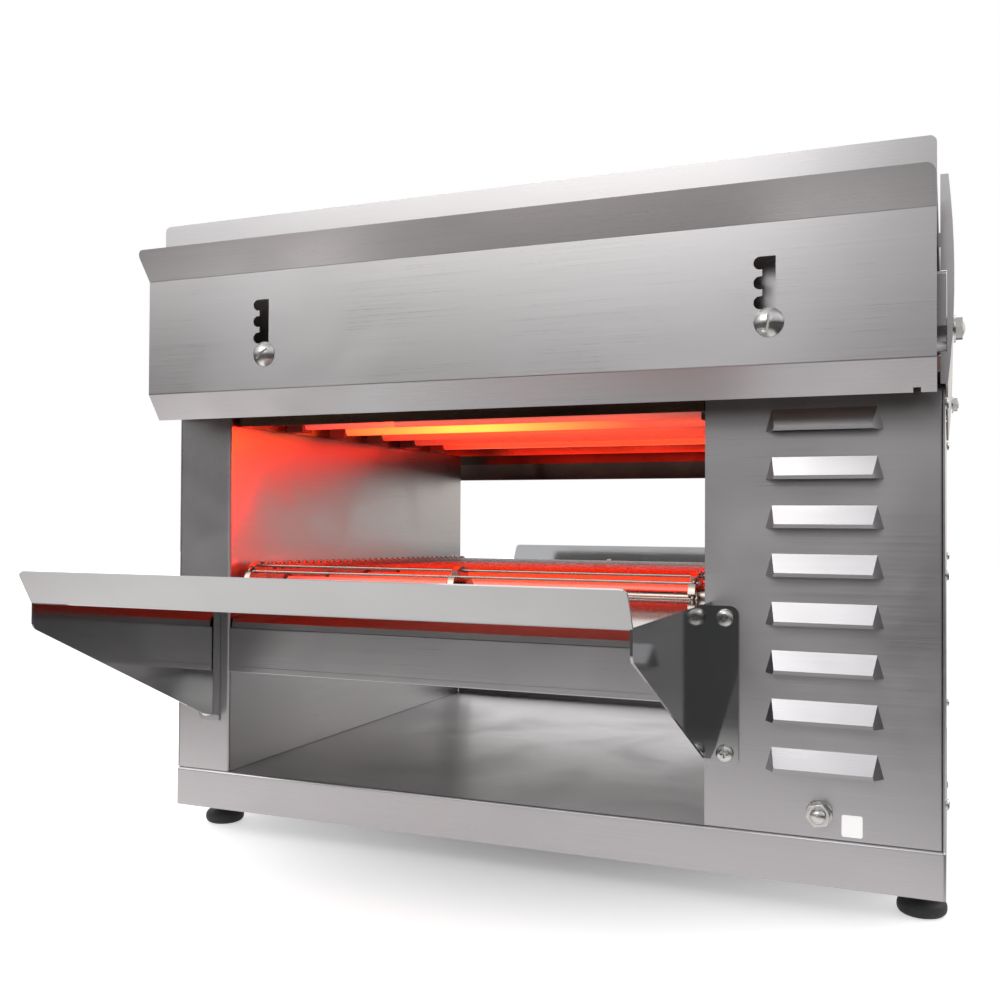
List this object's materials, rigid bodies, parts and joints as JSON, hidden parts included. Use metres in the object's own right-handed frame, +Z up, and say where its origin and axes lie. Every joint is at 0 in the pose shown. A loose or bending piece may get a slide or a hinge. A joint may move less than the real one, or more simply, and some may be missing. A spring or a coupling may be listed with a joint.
{
  "type": "conveyor salamander grill",
  "caption": "Stainless pass-through countertop grill with a wire belt tunnel between two piers, shelves front and rear, adjustable shields and a louvred control side.",
  "frame": {"origin": "on the floor under the middle of the cabinet", "axes": "+X to the right seen from the front, +Y to the rear, +Z up"},
  "size_m": [0.6238, 0.8852, 0.5044],
  "materials": {
    "brushed_steel": "brushed",
    "polished_steel": "polished",
    "rubber": "matte",
    "plated_steel": "polished",
    "belt_steel": "bright",
    "bronze": "satin",
    "motor_paint": "satin",
    "quartz": "frosted",
    "ceramic": "matte",
    "black_plastic": "matte",
    "lamp_lens": "gloss"
  },
  "bodies": {
    "cabinet": {"base_pan": "brushed_steel", "left_inner_wall": "brushed_steel", "right_inner_wall": "brushed_steel", "right_front_panel": "brushed_steel", "right_rear_panel": "brushed_steel", "right_side_cover": "brushed_steel", "left_side_cover": "brushed_steel", "front_apron": "brushed_steel", "rear_apron": "brushed_steel", "upper_housing": "brushed_steel", "top_tray": "brushed_steel", "hood_side_right": "brushed_steel", "hood_side_left": "brushed_steel", "hood_lugs": "brushed_steel", "tray_rails": "brushed_steel", "front_shelf": "polished_steel", "rear_shelf": "polished_steel", "upper_reflector": "polished_steel", "foot_front_left": "rubber", "foot_front_right": "rubber", "foot_rear_left": "rubber", "foot_rear_right": "rubber", "foot_bolts": "plated_steel", "side_screws": "plated_steel", "hood_cap_nuts": "plated_steel", "shelf_screws": "plated_steel", "shield_spacers": "plated_steel", "bonding_terminal": "plated_steel", "conveyor_belt": "belt_steel", "shaft_bearings": "bronze", "gear_motor": "motor_paint", "upper_tube_1": "quartz", "upper_tube_2": "quartz", "upper_tube_3": "quartz", "upper_tube_4": "quartz", "upper_tube_5": "quartz", "lower_tubes": "quartz", "upper_tube_holders": "ceramic", "lower_tube_holders": "ceramic", "control_bodies": "black_plastic", "cable_gland": "black_plastic", "fan_frame": "black_plastic", "pilot_lamp": "lamp_lens"},
    "front_shield": {"front_shield": "brushed_steel"},
    "rear_shield": {"rear_shield": "brushed_steel"},
    "screw_front_left": {"shield_screw_front_left": "plated_steel"},
    "screw_front_right": {"shield_screw_front_right": "plated_steel"},
    "screw_rear_left": {"shield_screw_rear_left": "plated_steel"},
    "screw_rear_right": {"shield_screw_rear_right": "plated_steel"},
    "crumb_tray": {"crumb_tray": "polished_steel"},
    "drive_shaft": {"drive_shaft": "belt_steel", "drive_sprockets": "belt_steel"},
    "idler_shaft": {"idler_shaft": "belt_steel", "idler_sprockets": "belt_steel"},
    "fan_rotor": {"fan_rotor": "black_plastic"},
    "knob_belt_speed": {"knob_belt_speed": "black_plastic"},
    "knob_lower_heat": {"knob_lower_heat": "black_plastic"},
    "knob_upper_heat": {"knob_upper_heat": "black_plastic"},
    "power_rocker": {"power_rocker": "black_plastic"}
  },
  "joints": [
    {"name": "front_shield_height", "type": "slide", "parent": "cabinet", "child": "front_shield", "axis": [0, 0, 1], "range_m": [-0.0381, 0]},
    {"name": "rear_shield_height", "type": "slide", "parent": "cabinet", "child": "rear_shield", "axis": [0, 0, 1], "range_m": [-0.0071, 0.031]},
    {"name": "crumb_tray_slide", "type": "slide", "parent": "cabinet", "child": "crumb_tray", "axis": [0, -1, 0], "range_m": [0, 0.3]},
    {"name": "drive_shaft_turn", "type": "hinge", "parent": "cabinet", "child": "drive_shaft", "pos_m": [-0.0515, -0.20397, 0.209], "axis": [1, 0, 0], "continuous": true},
    {"name": "idler_shaft_turn", "type": "hinge", "parent": "cabinet", "child": "idler_shaft", "pos_m": [-0.0515, 0.20397, 0.202], "axis": [1, 0, 0], "continuous": true},
    {"name": "fan_turn", "type": "hinge", "parent": "cabinet", "child": "fan_rotor", "pos_m": [0.222, 0.06, 0.068], "axis": [0, 0, 1], "continuous": true},
    {"name": "power_rocker_tip", "type": "hinge", "parent": "cabinet", "child": "power_rocker", "pos_m": [0.2231, 0.22, 0.14], "axis": [1, 0, 0], "range_deg": [0, 16]},
    {"name": "belt_speed_turn", "type": "hinge", "parent": "cabinet", "child": "knob_belt_speed", "pos_m": [0.2231, 0.24, 0.196], "axis": [0, 1, 0], "range_deg": [0, 270]},
    {"name": "lower_heat_turn", "type": "hinge", "parent": "cabinet", "child": "knob_lower_heat", "pos_m": [0.2231, 0.24, 0.25], "axis": [0, 1, 0], "range_deg": [0, 270]},
    {"name": "upper_heat_turn", "type": "hinge", "parent": "cabinet", "child": "knob_upper_heat", "pos_m": [0.2231, 0.24, 0.304], "axis": [0, 1, 0], "range_deg": [0, 270]},
    {"name": "screw_front_left_turn", "type": "hinge", "parent": "cabinet", "child": "screw_front_left", "pos_m": [-0.1854, -0.27, 0.3911], "axis": [0, 1, 0], "continuous": true},
    {"name": "screw_front_right_turn", "type": "hinge", "parent": "cabinet", "child": "screw_front_right", "pos_m": [0.1965, -0.27, 0.3911], "axis": [0, 1, 0], "continuous": true},
    {"name": "screw_rear_left_turn", "type": "hinge", "parent": "cabinet", "child": "screw_rear_left", "pos_m": [-0.1854, 0.27, 0.3911], "axis": [0, 1, 0], "continuous": true},
    {"name": "screw_rear_right_turn", "type": "hinge", "parent": "cabinet", "child": "screw_rear_right", "pos_m": [0.1965, 0.27, 0.3911], "axis": [0, 1, 0], "continuous": true}
  ],
  "couplings": [
    {"joint": "idler_shaft_turn", "follows": "drive_shaft_turn", "ratio": 1}
  ]
}
